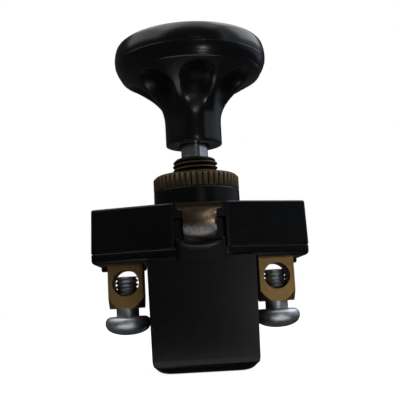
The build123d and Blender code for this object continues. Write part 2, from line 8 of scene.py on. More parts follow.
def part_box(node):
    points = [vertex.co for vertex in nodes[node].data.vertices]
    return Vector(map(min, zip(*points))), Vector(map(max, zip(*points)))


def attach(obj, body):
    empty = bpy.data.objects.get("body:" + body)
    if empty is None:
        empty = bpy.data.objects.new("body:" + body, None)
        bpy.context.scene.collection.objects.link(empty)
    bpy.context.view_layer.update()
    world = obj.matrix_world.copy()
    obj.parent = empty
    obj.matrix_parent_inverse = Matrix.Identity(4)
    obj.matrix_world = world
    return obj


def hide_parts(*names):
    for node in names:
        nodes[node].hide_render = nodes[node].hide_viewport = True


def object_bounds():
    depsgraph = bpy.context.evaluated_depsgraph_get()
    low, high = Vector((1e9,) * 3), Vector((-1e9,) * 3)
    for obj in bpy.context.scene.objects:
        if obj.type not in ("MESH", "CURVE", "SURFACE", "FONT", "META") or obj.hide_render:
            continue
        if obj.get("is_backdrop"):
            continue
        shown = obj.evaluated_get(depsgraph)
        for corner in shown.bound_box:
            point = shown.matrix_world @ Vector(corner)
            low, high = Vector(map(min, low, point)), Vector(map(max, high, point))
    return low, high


# A two-terminal push-pull switch. Sizes below are in millimetres, heights run up
# from the flat bottom of the block, and the rod is the Z axis.

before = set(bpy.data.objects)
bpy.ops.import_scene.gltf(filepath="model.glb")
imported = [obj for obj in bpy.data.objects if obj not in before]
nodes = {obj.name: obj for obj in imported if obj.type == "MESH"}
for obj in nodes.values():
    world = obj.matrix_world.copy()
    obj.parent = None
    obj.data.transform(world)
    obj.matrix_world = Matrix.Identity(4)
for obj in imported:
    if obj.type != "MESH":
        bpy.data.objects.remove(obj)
cad_low, cad_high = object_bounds()
MM = 0.001

# --- Housing base and cover -------------------------------------------------------
# Two compression mouldings of black phenolic: a block with a flange, and a bar that
# closes it. The mould leaves them glossy; flash, handling and dust dull them.


def linear(colour):
    """Turn an sRGB hex colour into the linear values that a socket takes."""
    channels = [int(colour[place:place + 2], 16) / 255 for place in (1, 3, 5)]
    return [
        channel / 12.92 if channel <= 0.04045 else ((channel + 0.055) / 1.055) ** 2.4
        for channel in channels
    ] + [1.0]


def add(tree, kind, inputs=(), **settings):
    """Add one node with its settings and with a value or a link for each input.

    Inputs go by name, or by number. A mix has its factor at 0, two numbers at 2 and 3
    and two colours at 6 and 7. A map range takes 1 and 2 to 3 and 4.
    """
    node = tree.nodes.new(kind)
    for name, value in settings.items():
        setattr(node, name, value)
    for name, value in dict(inputs).items():
        if isinstance(value, bpy.types.NodeSocket):
            tree.links.new(value, node.inputs[name])
        else:
            node.inputs[name].default_value = value
    return node


def new_finish(name, **values):
    """Start a material: its node tree, its shader and its coordinates in mm."""
    material = bpy.data.materials.new(name)
    material.use_nodes = True
    tree = material.node_tree
    shader = tree.nodes["Principled BSDF"]
    for socket, value in values.items():
        shader.inputs[socket.replace("_", " ")].default_value = value
    spot = add(tree, "ShaderNodeTexCoord").outputs["Object"]
    spot = add(tree, "ShaderNodeMapping", {"Vector": spot, "Scale": (1 / MM,) * 3})
    return material, tree, shader, spot.outputs[0]


def link(tree, shader, **sockets):
    """Link finished patterns to the shader."""
    for socket, value in sockets.items():
        tree.links.new(value, shader.inputs[socket.replace("_", " ")])


def black_phenolic(name, gloss, dull, bright, edge, dust):
    """Compression-moulded phenolic: near black, half glossy, with flow clouds.

    dull and bright are the ends of its roughness, edge is the width in mm of its worn
    edges, and dust is how much the specks show. A piece may carry an attribute
    "hollow", 1 where no cloth has polished it.
    """
    material, tree, shader, spot = new_finish(name, IOR=1.6)
    clouds = add(tree, "ShaderNodeTexNoise", {"Vector": spot, "Scale": 0.16, "Detail": 5})
    colour = add(
        tree, "ShaderNodeMix",
        {0: clouds.outputs["Fac"], 6: linear("#020304"), 7: linear("#060708")},
        data_type="RGBA",
    )
    # specks of dust and filler, drawn at 0.2 mm, coarser than they are
    specks = add(tree, "ShaderNodeTexVoronoi", {"Vector": spot, "Scale": 0.45})
    near = add(
        tree, "ShaderNodeMapRange",
        {"Value": specks.outputs["Distance"], 1: 0.03, 2: 0.07, 3: dust, 4: 0.0},
    )
    dusty = add(
        tree, "ShaderNodeMix",
        {0: near.outputs[0], 6: colour.outputs[2], 7: linear("#6d6f70")},
        data_type="RGBA",
    )
    wipes = add(
        tree, "ShaderNodeTexNoise",
        {"Vector": spot, "Scale": 0.5, "Detail": 6, "Roughness": 0.65},
    )
    rough = add(
        tree, "ShaderNodeMapRange",
        {"Value": wipes.outputs["Fac"], 1: 0.3, 2: 0.7, 3: bright, 4: dull},
    )
    hollow = add(tree, "ShaderNodeAttribute", attribute_name="hollow")
    rough = add(
        tree, "ShaderNodeMath",
        {0: hollow.outputs["Fac"], 1: 0.15, 2: rough.outputs[0]},
        operation="MULTIPLY_ADD",
    )
    level = add(
        tree, "ShaderNodeMapRange",
        {"Value": hollow.outputs["Fac"], 1: 0.0, 2: 1.0, 3: gloss, 4: 0.2 * gloss},
    )
    # the skin of the mould: a faint orange peel about half a millimetre wide
    peel = add(tree, "ShaderNodeTexNoise", {"Vector": spot, "Scale": 2.0, "Detail": 4})
    worn = add(tree, "ShaderNodeBevel", {"Radius": edge * MM}, samples=4)
    skin = add(
        tree, "ShaderNodeBump",
        {"Height": peel.outputs["Fac"], "Strength": 0.15, "Distance": 0.02 * MM,
         "Normal": worn.outputs[0]},
    )
    link(tree, shader, Base_Color=dusty.outputs[2], Roughness=rough.outputs[0],
         Specular_IOR_Level=level.outputs[0], Normal=skin.outputs[0])
    return material


def dress(material, *names):
    """Give CAD nodes a material."""
    for name in names:
        nodes[name].data.materials.clear()
        nodes[name].data.materials.append(material)


phenolic = black_phenolic(
    "black_phenolic_moulded", gloss=0.18, dull=0.36, bright=0.28, edge=0.15, dust=0.25
)


def block(low, high):
    """A plain box between two corners, to be worked on."""
    shape = bmesh.new()
    bmesh.ops.create_cube(shape, size=1.0)
    low, high = Vector(low), Vector(high)
    bmesh.ops.scale(shape, vec=high - low, verts=shape.verts)
    bmesh.ops.translate(shape, vec=(low + high) / 2, verts=shape.verts)
    return shape


def slab(outline, low, high):
    """A flat outline of (x, y) points, raised from one height to another."""
    shape = bmesh.new()
    face = shape.faces.new([shape.verts.new((x, y, low)) for x, y in outline])
    raised = bmesh.ops.extrude_face_region(shape, geom=[face])["geom"]
    top = [part for part in raised if isinstance(part, bmesh.types.BMVert)]
    bmesh.ops.translate(shape, vec=(0, 0, high - low), verts=top)
    bmesh.ops.recalc_face_normals(shape, faces=shape.faces)
    return shape


def round_edges(shape, radius, segments, chosen):
    """Round the edges whose two ends the test accepts."""
    edges = [
        edge for edge in shape.edges if chosen(edge.verts[0].co, edge.verts[1].co)
    ]
    bmesh.ops.bevel(
        shape, geom=edges, offset=radius, offset_type="OFFSET", segments=segments,
        profile=0.5, affect="EDGES", clamp_overlap=True, material=-1,
    )
    return shape


def combine(shape, tool, operation):
    """Join, cut or intersect a bmesh with another."""
    objects = []
    for part in (shape, tool):
        mesh = bpy.data.meshes.new("part")
        part.to_mesh(mesh)
        part.free()
        objects.append(bpy.data.objects.new("part", mesh))
        bpy.context.collection.objects.link(objects[-1])
    cut = objects[0].modifiers.new("cut", "BOOLEAN")
    cut.operation = operation
    cut.solver = "EXACT"
    cut.object = objects[1]
    result = bmesh.new()
    result.from_object(objects[0], bpy.context.evaluated_depsgraph_get())
    for part in objects:
        mesh = part.data
        bpy.data.objects.remove(part)
        bpy.data.meshes.remove(mesh)
    return result


def finish_piece(shape, name, material, body, slot, *replaced, sharp=35):
    """Turn a bmesh in mm into a piece that stands for CAD nodes."""
    bmesh.ops.scale(shape, vec=(MM, MM, MM), verts=shape.verts)
    mesh = bpy.data.meshes.new(name)
    shape.to_mesh(mesh)
    shape.free()
    for face in mesh.polygons:
        face.use_smooth = True
    mesh.set_sharp_from_angle(angle=radians(sharp))
    mesh.materials.append(material)
    piece = bpy.data.objects.new(name, mesh)
    bpy.context.collection.objects.link(piece)
    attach(piece, body)
    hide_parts(*replaced)
    # keeps flat faces flat next to their rounded edges
    flat = piece.modifiers.new("flat_faces", "WEIGHTED_NORMAL")
    flat.keep_sharp = True
    return piece


# heights of the joint between base and cover and of the strips' bed, and where the
# terminals, the bar's ends and the strap's top are
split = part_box("insulating_plate")[0].z / MM
strip_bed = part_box("contact_strip_left")[0].z / MM
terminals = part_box("terminal_post_right")
terminal_x = (terminals[0].x + terminals[1].x) / 2 / MM
bar_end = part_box("housing_cover")[1].x / MM
strap_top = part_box("retaining_clip")[1].z / MM
FLANGE_THICKNESS = 2.3
flange = split - FLANGE_THICKNESS

# the block: drafted sides, a rounded foot and softened corners; half sizes at its foot
# and at its head under the flange
FOOT_X, FOOT_Y = 10.75, 11.65
HEAD_X, HEAD_Y = 11.108, 12.005
FOOT_ROUND, CORNER_ROUND = 2.9, 1.5
body = block((-FOOT_X, -FOOT_Y, 0), (FOOT_X, FOOT_Y, flange + 0.4))
for point in body.verts:
    if point.co.z > 1:
        point.co.x *= HEAD_X / FOOT_X
        point.co.y *= HEAD_Y / FOOT_Y
round_edges(body, FOOT_ROUND, 8, lambda a, b: max(a.z, b.z) < 0.01)
round_edges(
    body, CORNER_ROUND, 5,
    lambda a, b: a.x * b.x > 0 and a.y * b.y > 0
    and max(abs(abs(end.y) - abs(end.x) - (FOOT_Y - FOOT_X)) for end in (a, b)) < 0.02,
)

# the flange, with its boat-shaped plan, a rounded lower edge and an eased upper one;
# the plan is widest up to MIDDLE_X and narrows to its ends
MIDDLE_X, MIDDLE_Y, END_Y = 6.0, 12.0, 6.8
boat = [
    (x * side_x, y * side_y)
    for side_x, side_y, order in ((-1, -1, 1), (1, -1, -1), (1, 1, 1), (-1, 1, -1))
    for x, y in ((bar_end, END_Y), (MIDDLE_X, MIDDLE_Y))[::order]
]
rim = slab(boat, flange, split)
round_edges(rim, 0.8, 3, lambda a, b: abs(a.z - b.z) > 1 and abs(a.x) > MIDDLE_X + 1)
round_edges(rim, 1.0, 5, lambda a, b: max(a.z, b.z) < flange + 0.01)
round_edges(rim, 0.3, 3, lambda a, b: min(a.z, b.z) > split - 0.01)
body = combine(body, rim, "UNION")

# nubs front and back, dished where the strap hooks in
NUB_X, NUB_INNER, NUB_OUTER, NUB_RISE = 5.05, 10.2, 13, 1.9
DISH = (4.4, 1.6, 2.0)
# the tongue behind the strap's leg: how far out its front is at each drop below the
# strap's top
TONGUE_X, TONGUE_BACK = 3.3, 9.35
TONGUE_FRONT = (
    (9.6, 7.3), (9.9, 7.0), (10.25, 6.5), (10.6, 6.0), (10.85, 5.5), (11.1, 5.0),
    (11.25, 4.5), (11.35, 4.0), (11.35, 3.6),
)
# the lips, and how far the flange's long sides turn from the X axis, in radians
LIP_X, LIP_HALF, LIP_DROP = 5.2, 0.6, 0.9
LIP_PLACE_X, LIP_PLACE_Y = 17.3, 7.87
SIDE_TURN = 0.297
for side in (-1, 1):
    near, far = sorted((side * NUB_INNER, side * NUB_OUTER))
    nub = block((-NUB_X, near, flange - 0.15), (NUB_X, far, split + NUB_RISE))
    round_edges(
        nub, 0.8, 6,
        lambda a, b: min(a.y * side, b.y * side) > NUB_OUTER - 0.1
        and (min(a.z, b.z) > split + 1 or abs(a.z - b.z) > 1),
    )
    dish = bmesh.new()
    bmesh.ops.create_uvsphere(dish, u_segments=64, v_segments=32, radius=1)
    bmesh.ops.scale(dish, vec=DISH, verts=dish.verts)
    bmesh.ops.translate(dish, vec=(0, side * 12.7, split + 1.4), verts=dish.verts)
    nub = combine(nub, dish, "DIFFERENCE")
    body = combine(body, nub, "UNION")
    tongue = bmesh.new()
    outline = [(TONGUE_BACK, split - 0.2), (TONGUE_FRONT[0][0], split - 0.2)]
    outline += [(reach, strap_top - drop) for reach, drop in TONGUE_FRONT]
    outline.append((TONGUE_BACK, strap_top - TONGUE_FRONT[-1][1]))
    face = tongue.faces.new(
        [tongue.verts.new((-TONGUE_X, side * y, z)) for y, z in outline]
    )
    drawn = bmesh.ops.extrude_face_region(tongue, geom=[face])["geom"]
    other_end = [part for part in drawn if isinstance(part, bmesh.types.BMVert)]
    bmesh.ops.translate(tongue, vec=(2 * TONGUE_X, 0, 0), verts=other_end)
    bmesh.ops.recalc_face_normals(tongue, faces=tongue.faces)
    body = combine(body, tongue, "UNION")
    # a lip under each half of the flange's back edge
    lip = block((-LIP_X, -LIP_HALF, -LIP_DROP), (LIP_X, LIP_HALF, 0.5))
    round_edges(lip, 0.4, 3, lambda a, b: max(a.z, b.z) < 0)
    bmesh.ops.rotate(
        lip, cent=(0, 0, 0), matrix=Matrix.Rotation(-side * SIDE_TURN, 3, "Z"),
        verts=lip.verts,
    )
    bmesh.ops.translate(
        lip, vec=(side * LIP_PLACE_X, LIP_PLACE_Y, flange), verts=lip.verts
    )
    body = combine(body, lip, "UNION")

# the cavity, the bed of the contact strips and the holes of the posts' tenons
CAVITY_X, CAVITY_Y, CAVITY_FLOOR = 8, 9, 3
BED_Y, BED_PAST_POST = 3.2, 3.3
TENON_RADIUS = 2.03
cavity = block((-CAVITY_X, -CAVITY_Y, CAVITY_FLOOR), (CAVITY_X, CAVITY_Y, split + 1))
round_edges(cavity, 1.0, 4, lambda a, b: abs(a.z - b.z) > 1)
body = combine(body, cavity, "DIFFERENCE")
bed = block((-terminal_x - BED_PAST_POST, -BED_Y, strip_bed),
            (terminal_x + BED_PAST_POST, BED_Y, split + 1))
body = combine(body, bed, "DIFFERENCE")
for side in (-1, 1):
    hole = bmesh.new()
    bmesh.ops.create_cone(
        hole, segments=48, radius1=TENON_RADIUS, radius2=TENON_RADIUS, depth=4,
        cap_ends=True,
    )
    bmesh.ops.translate(hole, vec=(side * terminal_x, 0, flange + 1), verts=hole.verts)
    body = combine(body, hole, "DIFFERENCE")
finish_piece(body, "housing_base_moulding", phenolic, "housing", "phenolic",
             "housing_base", sharp=32)

dress(phenolic, "housing_cover")

# --- Contacts inside ---------------------------------------------------------------
# Brass strips riveted to the posts run into the cavity and end in silver contacts.
# A fibre sheet lies over them. All of it is shut in by the cover.

# for each finish: metallic, darker and lighter colour, least and most roughness, and
# how many mottles there are to a millimetre
FINISHES = {
    # rolled brass, dulled: soft cloudy brown-yellow
    "rolled_brass_dulled": (1.0, "#8a6b3a", "#b99557", 0.30, 0.48, 0.8),
    # pressed silver rivets with a grey bloom
    "fine_silver_pressed": (1.0, "#9b9a95", "#d9d8d2", 0.22, 0.40, 1.5),
    # vulcanised fibre, calendered: matt red-brown with fine fibres
    "vulcanised_fibre_calendered": (0.0, "#4a2219", "#6d3426", 0.55, 0.75, 3.0),
    # brown phenolic, moulded: half matt
    "brown_phenolic_moulded": (0.0, "#2a1710", "#3d241a", 0.35, 0.5, 0.6),
    # spring steel, oiled: dark blue-grey
    "spring_steel_oiled": (1.0, "#4e5257", "#7f8489", 0.25, 0.4, 1.2),
    # stamped steel washer, plain
    "mild_steel_stamped": (1.0, "#85888a", "#b4b6b6", 0.28, 0.45, 1.0),
}
finishes = {}
for name, (metal, dark, light, least, most, scale) in FINISHES.items():
    material, tree, shader, spot = new_finish(name, Metallic=metal)
    mottle = add(tree, "ShaderNodeTexNoise", {"Vector": spot, "Scale": scale, "Detail": 6})
    colour = add(
        tree, "ShaderNodeMix",
        {0: mottle.outputs["Fac"], 6: linear(dark), 7: linear(light)}, data_type="RGBA",
    )
    rough = add(
        tree, "ShaderNodeMapRange",
        {"Value": mottle.outputs["Fac"], 1: 0.3, 2: 0.7, 3: least, 4: most},
    )
    grain = add(
        tree, "ShaderNodeTexNoise", {"Vector": spot, "Scale": 6 * scale, "Detail": 4}
    )
    bump = add(
        tree, "ShaderNodeBump",
        {"Height": grain.outputs["Fac"], "Strength": 0.3, "Distance": 0.01 * MM},
    )
    link(tree, shader, Base_Color=colour.outputs[2], Roughness=rough.outputs[0],
         Normal=bump.outputs[0])
    finishes[name] = material

dress(finishes["rolled_brass_dulled"], "contact_strip_left", "contact_strip_right",
      "contact_bridge", "knob_insert")
dress(finishes["fine_silver_pressed"], "fixed_contact_left", "fixed_contact_right",
      "moving_contact_left", "moving_contact_right")
dress(finishes["vulcanised_fibre_calendered"], "insulating_plate", "insulating_washer")
dress(finishes["brown_phenolic_moulded"], "contact_carrier")
dress(finishes["spring_steel_oiled"], "pressure_spring", "detent_spring", "rod_clip")
dress(finishes["mild_steel_stamped"], "carrier_washer")

# --- Terminal posts -----------------------------------------------------------------
# Square brass bar with a cross hole for the wire. The tenon goes through the flange and
# is riveted over. The brass is bare and has browned, with grime that dulls it unevenly.

material, tree, shader, spot = new_finish("brass_bar_drawn_browned", Metallic=1.0)
tarnish = add(
    tree, "ShaderNodeTexNoise",
    {"Vector": spot, "Scale": 0.7, "Detail": 8, "Roughness": 0.6},
)
colour = add(
    tree, "ShaderNodeMix",
    {0: tarnish.outputs["Fac"], 6: linear("#866b43"), 7: linear("#b3925f")},
    data_type="RGBA",
)
grime = add(tree, "ShaderNodeTexNoise", {"Vector": spot, "Scale": 4.0, "Detail": 6})
rough = add(
    tree, "ShaderNodeMapRange",
    {"Value": grime.outputs["Fac"], 1: 0.3, 2: 0.7, 3: 0.42, 4: 0.58},
)
worn = add(tree, "ShaderNodeBevel", {"Radius": 0.12 * MM}, samples=4)
bump = add(
    tree, "ShaderNodeBump",
    {"Height": grime.outputs["Fac"], "Strength": 0.5, "Distance": 0.015 * MM,
     "Normal": worn.outputs[0]},
)
link(tree, shader, Base_Color=colour.outputs[2], Roughness=rough.outputs[0],
     Normal=bump.outputs[0])
dress(material, "terminal_post_left", "terminal_post_right")

# --- Terminal screws ----------------------------------------------------------------
# M5 slotted screws of zinc-plated steel with a high round head, driven from below.
# Plating that has dulled: grey, speckled with white bloom, bright on the crown.


def turned(profile, steps, centre_x=0.0):
    """Spin a profile of (radius, height) points in mm round an upright axis."""
    shape = bmesh.new()
    points = [shape.verts.new((radius, 0, height)) for radius, height in profile]
    edges = [shape.edges.new(pair) for pair in zip(points, points[1:])]
    bmesh.ops.spin(
        shape, geom=points + edges, cent=(0, 0, 0), axis=(0, 0, 1), angle=2 * pi,
        steps=steps, use_merge=True, use_duplicate=False,
    )
    bmesh.ops.remove_doubles(shape, verts=shape.verts, dist=1e-4)
    bmesh.ops.translate(shape, verts=shape.verts, vec=(centre_x, 0, 0))
    bmesh.ops.recalc_face_normals(shape, faces=shape.faces)
    return shape


TOOTH_STEPS = 10


def threaded(major, minor, pitch, low, high, steps, centre_x=0.0):
    """Sweep one tooth up a helix and trim it to a closed threaded bar."""
    shape = bmesh.new()
    points = []
    for step in range(TOOTH_STEPS + 1):
        swell = (0.5 - 0.5 * cos(2 * pi * step / TOOTH_STEPS)) ** 0.8
        radius = minor + (major - minor) * swell
        height = low + (step / TOOTH_STEPS - 1) * pitch
        points.append(shape.verts.new((radius, 0, height)))
    edges = [shape.edges.new(pair) for pair in zip(points, points[1:])]
    turns = int((high - low) / pitch) + 3
    bmesh.ops.spin(
        shape, geom=points + edges, cent=(0, 0, 0), axis=(0, 0, 1),
        dvec=(0, 0, pitch / steps), angle=2 * pi * turns, steps=steps * turns,
        use_merge=False, use_duplicate=False,
    )
    bmesh.ops.remove_doubles(shape, verts=shape.verts, dist=1e-4)
    for height, up in ((low, -1), (high, 1)):
        cut = bmesh.ops.bisect_plane(
            shape, geom=shape.verts[:] + shape.edges[:] + shape.faces[:],
            plane_co=(0, 0, height), plane_no=(0, 0, up), clear_outer=True,
        )
        rim = [edge for edge in cut["geom_cut"] if isinstance(edge, bmesh.types.BMEdge)]
        bmesh.ops.contextual_create(shape, geom=rim)
    bmesh.ops.translate(shape, verts=shape.verts, vec=(centre_x, 0, 0))
    bmesh.ops.recalc_face_normals(shape, faces=shape.faces)
    return shape


material, tree, shader, spot = new_finish("zinc_plated_steel_dulled", Metallic=1.0)
bloom = add(
    tree, "ShaderNodeTexNoise",
    {"Vector": spot, "Scale": 1.2, "Detail": 8, "Roughness": 0.65},
)
colour = add(
    tree, "ShaderNodeMix",
    {0: bloom.outputs["Fac"], 6: linear("#a3a8ac"), 7: linear("#dde1e4")},
    data_type="RGBA",
)
salts = add(tree, "ShaderNodeTexVoronoi", {"Vector": spot, "Scale": 1.6})
near = add(
    tree, "ShaderNodeMapRange",
    {"Value": salts.outputs["Distance"], 1: 0.08, 2: 0.2, 3: 0.5, 4: 0.0},
)
colour = add(
    tree, "ShaderNodeMix",
    {0: near.outputs[0], 6: colour.outputs[2], 7: linear("#d8dbdc")},
    data_type="RGBA",
)
rough = add(
    tree, "ShaderNodeMapRange",
    {"Value": bloom.outputs["Fac"], 1: 0.3, 2: 0.7, 3: 0.36, 4: 0.55},
)
bump = add(
    tree, "ShaderNodeBump",
    {"Height": bloom.outputs["Fac"], "Strength": 0.5, "Distance": 0.03 * MM},
)
link(tree, shader, Base_Color=colour.outputs[2], Roughness=rough.outputs[0],
     Normal=bump.outputs[0])
zinc = material

# the head: its domed crown, which points down, then its rim as (radius, rise) points
CROWN_RADIUS, CROWN_RISE = 4.7, 2.0
RIM = ((4.88, 2.2), (4.9, 2.6), (4.84, 3.1), (4.62, 3.55), (4.25, 3.85), (3.9, 4.0), (0.0, 4.0))
SLOT_WIDTH, SLOT_DEPTH, SLOT_TURN = 1.2, 1.6, radians(-35)
NECK_RADIUS, NECK_END = 2.45, 5.9
# the pitch is drawn a little over the 0.8 mm of M5
SCREW_MAJOR, SCREW_MINOR, SCREW_PITCH = 2.5, 2.0, 0.9
for side in ("left", "right"):
    low, high = (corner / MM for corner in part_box(f"terminal_screw_{side}"))
    centre = (low.x + high.x) / 2
    head = turned(
        [(0.0, low.z)]
        + [(CROWN_RADIUS * sin(turn), low.z + CROWN_RISE * (1 - cos(turn)))
           for turn in [step * pi / 40 for step in range(1, 19)]]
        + [(radius, low.z + rise) for radius, rise in RIM],
        96, centre,
    )
    blade = bmesh.new()
    bmesh.ops.create_cube(blade, size=1.0)
    bmesh.ops.scale(blade, vec=(12, SLOT_WIDTH, 2 * SLOT_DEPTH), verts=blade.verts)
    bmesh.ops.rotate(
        blade, cent=(0, 0, 0), matrix=Matrix.Rotation(SLOT_TURN, 3, "Z"),
        verts=blade.verts,
    )
    bmesh.ops.translate(blade, vec=(centre, 0, low.z), verts=blade.verts)
    head = combine(head, blade, "DIFFERENCE")
    neck = turned(
        [(0, low.z + 3.5), (NECK_RADIUS, low.z + 3.5), (NECK_RADIUS, low.z + NECK_END),
         (0, low.z + NECK_END)],
        64, centre,
    )
    head = combine(head, neck, "UNION")
    shank = threaded(
        SCREW_MAJOR, SCREW_MINOR, SCREW_PITCH, low.z + NECK_END - 0.1, high.z, 40, centre
    )
    screw = combine(head, shank, "UNION")
    finish_piece(screw, f"terminal_screw_{side}_m5", zinc, f"screw_{side}",
                 "zinc_steel", f"terminal_screw_{side}", sharp=40)

# --- Retaining strap ----------------------------------------------------------------
# Cold-rolled strip, nickel plated, bent over the cover and hooked on the base. The
# plating is smooth and bright. Its upper leg is painted brown, a painted reflection, and
# its bend is painted near black, a painted shade under the collar.

material, tree, shader, spot = new_finish("nickel_plated_strip_bent", Metallic=1.0)
# painted reflection: the upper leg is painted brown by height, for the brown it mirrors; the
# lip below is left clean nickel
reflection_mottle = add(
    tree, "ShaderNodeTexNoise",
    {"Vector": spot, "Scale": 0.6, "Detail": 7, "Roughness": 0.6},
)
painted_brown_reflection = add(
    tree, "ShaderNodeMix",
    {0: reflection_mottle.outputs["Fac"], 6: linear("#6f5d48"), 7: linear("#8f7c63")},
    data_type="RGBA",
)
# drawing lines run down the strip, drawn 0.3 mm wide, coarser than they are
lines = add(tree, "ShaderNodeMapping", {"Vector": spot, "Scale": (4.0, 4.0, 0.5)})
scratches = add(
    tree, "ShaderNodeTexNoise", {"Vector": lines.outputs[0], "Scale": 1.0, "Detail": 4}
)
worn_line = add(
    tree, "ShaderNodeMapRange",
    {"Value": scratches.outputs["Fac"], 1: 0.35, 2: 0.65, 3: 0.0, 4: 1.0},
)
clean = add(
    tree, "ShaderNodeMix",
    {0: worn_line.outputs[0], 6: linear("#8d8782"), 7: linear("#c9c5c1")},
    data_type="RGBA",
)
height = add(tree, "ShaderNodeSeparateXYZ", {"Vector": spot})
ragged_height = add(
    tree, "ShaderNodeMath",
    {0: reflection_mottle.outputs["Fac"], 1: 1.2, 2: height.outputs["Z"]}, operation="MULTIPLY_ADD",
)
# painted reflection: brown above this ragged height, clean nickel below it
painted_reflection_zone = add(
    tree, "ShaderNodeMapRange",
    {"Value": ragged_height.outputs[0], 1: strap_top - 4.7, 2: strap_top - 3.7, 3: 0.0, 4: 1.0},
)
colour = add(
    tree, "ShaderNodeMix",
    {0: painted_reflection_zone.outputs[0], 6: clean.outputs[2], 7: painted_brown_reflection.outputs[2]}, data_type="RGBA",
)
# painted shade: the bend under the collar is painted near black
painted_bend_shade = add(
    tree, "ShaderNodeMapRange",
    {"Value": height.outputs["Z"], 1: strap_top - 1.7, 2: strap_top - 1.1, 3: 0.0,
     4: 0.95},
)
colour = add(
    tree, "ShaderNodeMix",
    {0: painted_bend_shade.outputs[0], 6: colour.outputs[2], 7: linear("#191613")}, data_type="RGBA",
)
smooth = add(
    tree, "ShaderNodeMapRange",
    {"Value": scratches.outputs["Fac"], 1: 0.3, 2: 0.7, 3: 0.26, 4: 0.31},
)
brushed = add(
    tree, "ShaderNodeMapRange",
    {"Value": scratches.outputs["Fac"], 1: 0.3, 2: 0.7, 3: 0.30, 4: 0.50},
)
rough = add(
    tree, "ShaderNodeMix",
    {0: painted_reflection_zone.outputs[0], 2: brushed.outputs[0], 3: smooth.outputs[0]},
)
rough = add(tree, "ShaderNodeMix", {0: painted_bend_shade.outputs[0], 2: rough.outputs[0], 3: 0.7})
worn = add(tree, "ShaderNodeBevel", {"Radius": 0.12 * MM}, samples=4)
bump = add(
    tree, "ShaderNodeBump",
    {"Height": scratches.outputs["Fac"], "Strength": 0.06, "Distance": 0.01 * MM,
     "Normal": worn.outputs[0]},
)
link(tree, shader, Base_Color=colour.outputs[2], Roughness=rough.outputs[0],
     Normal=bump.outputs[0])
nickel = material

# the leg starts past LEG_Y; from LEAN_START below the strap's top it leans in, over
# LEAN_LENGTH, in place of the round bend that the plain strap has from BEND_START on
LEG_Y, LEG_HALF = 9.5, 3.5
LEAN_START, LEAN_LENGTH = 3.9, 3.74
BEND_START, BEND_RADIUS = 5.2, 2.6
strap = bmesh.new()
strap.from_mesh(nodes["retaining_clip"].data)
strap.transform(nodes["retaining_clip"].matrix_world)
bmesh.ops.scale(strap, vec=(1 / MM,) * 3, verts=strap.verts)
bmesh.ops.remove_doubles(strap, verts=strap.verts, dist=1e-4)
bmesh.ops.dissolve_limit(
    strap, angle_limit=radians(0.5), verts=strap.verts, edges=strap.edges,
)
# rows and columns of points, so that the leg can be bent and crowned
cuts = [((0, 0, strap_top - 0.25 * step), (0, 0, 1)) for step in range(3, 31)]
cuts += [((0.5 * step, 0, 0), (1, 0, 0)) for step in range(-6, 7)]
for place, facing in cuts:
    bmesh.ops.bisect_plane(
        strap, geom=strap.verts[:] + strap.edges[:] + strap.faces[:],
        plane_co=place, plane_no=facing,
    )
for point in strap.verts:
    drop = strap_top - point.co.z
    if drop < 0.3 or abs(point.co.y) < LEG_Y:
        continue
    # the leg swells a little, then leans in towards its lip, and is crowned across
    lean = 0.0
    if drop > LEAN_START:
        share = (drop - LEAN_START) / LEAN_LENGTH
        lean = LEAN_LENGTH * (0.2 * share + 0.26 * share ** 2)
    bent = 0.0
    if drop > BEND_START:
        bent = BEND_RADIUS - sqrt(max(BEND_RADIUS ** 2 - (drop - BEND_START) ** 2, 0.0))
    swell = 0.1 - 0.055 * (min(drop, LEAN_START) - 2.6) ** 2
    swell *= min((drop - 0.3) / 1.2, 1.0)
    crown = 0.3 * (point.co.x / LEG_HALF) ** 2 * min(max(drop - 1.5, 0.0) / 1.2, 1.0)
    shift = swell - crown + bent - lean
    point.co.y += shift if point.co.y > 0 else -shift
bmesh.ops.triangulate(strap, faces=strap.faces)
finish_piece(strap, "retaining_strap", nickel, "housing", "nickel_steel",
             "retaining_clip", sharp=40)

# --- Threaded bush and ring nut -------------------------------------------------------
# Free-cutting brass: the bush has an M10 x 1 thread, the nut is turned and fluted for
# the fingers. Both have gone brown, and are coloured darker in the roots and flutes
# than on the crests.

BUSH_MAJOR, BUSH_MINOR, BUSH_PITCH = 5.0, 4.45, 1.0
NUT_RADIUS, FLUTE_FLOOR, FLUTES = 9.5, 9.16, 48

material, tree, shader, spot = new_finish("turned_brass_aged", Metallic=1.0)
patina = add(
    tree, "ShaderNodeTexNoise",
    {"Vector": spot, "Scale": 0.8, "Detail": 8, "Roughness": 0.65},
)
colour = add(
    tree, "ShaderNodeMix",
    {0: patina.outputs["Fac"], 6: linear("#463a2b"), 7: linear("#73634c")},
    data_type="RGBA",
)
# darker by distance from the axis: in the flutes' floors, and in the thread's roots
level = add(tree, "ShaderNodeVectorMath", {0: spot, 1: (1, 1, 0)}, operation="MULTIPLY")
radius = add(tree, "ShaderNodeVectorMath", {0: level.outputs[0]}, operation="LENGTH")
nut_root = add(
    tree, "ShaderNodeMapRange",
    {"Value": radius.outputs["Value"], 1: FLUTE_FLOOR, 2: 9.38, 3: 0.9, 4: 0.0},
)
nut_zone = add(
    tree, "ShaderNodeMapRange",
    {"Value": radius.outputs["Value"], 1: 9.0, 2: 9.2, 3: 0.0, 4: 1.0},
)
thread_root = add(
    tree, "ShaderNodeMapRange",
    {"Value": radius.outputs["Value"], 1: 4.5, 2: 4.95, 3: 0.85, 4: 0.0},
)
recess_darkening = add(
    tree, "ShaderNodeMix",
    {0: nut_zone.outputs[0], 2: thread_root.outputs[0], 3: nut_root.outputs[0]},
)
colour = add(
    tree, "ShaderNodeMix",
    {0: recess_darkening.outputs[0], 6: colour.outputs[2], 7: linear("#1d1812")},
    data_type="RGBA",
)
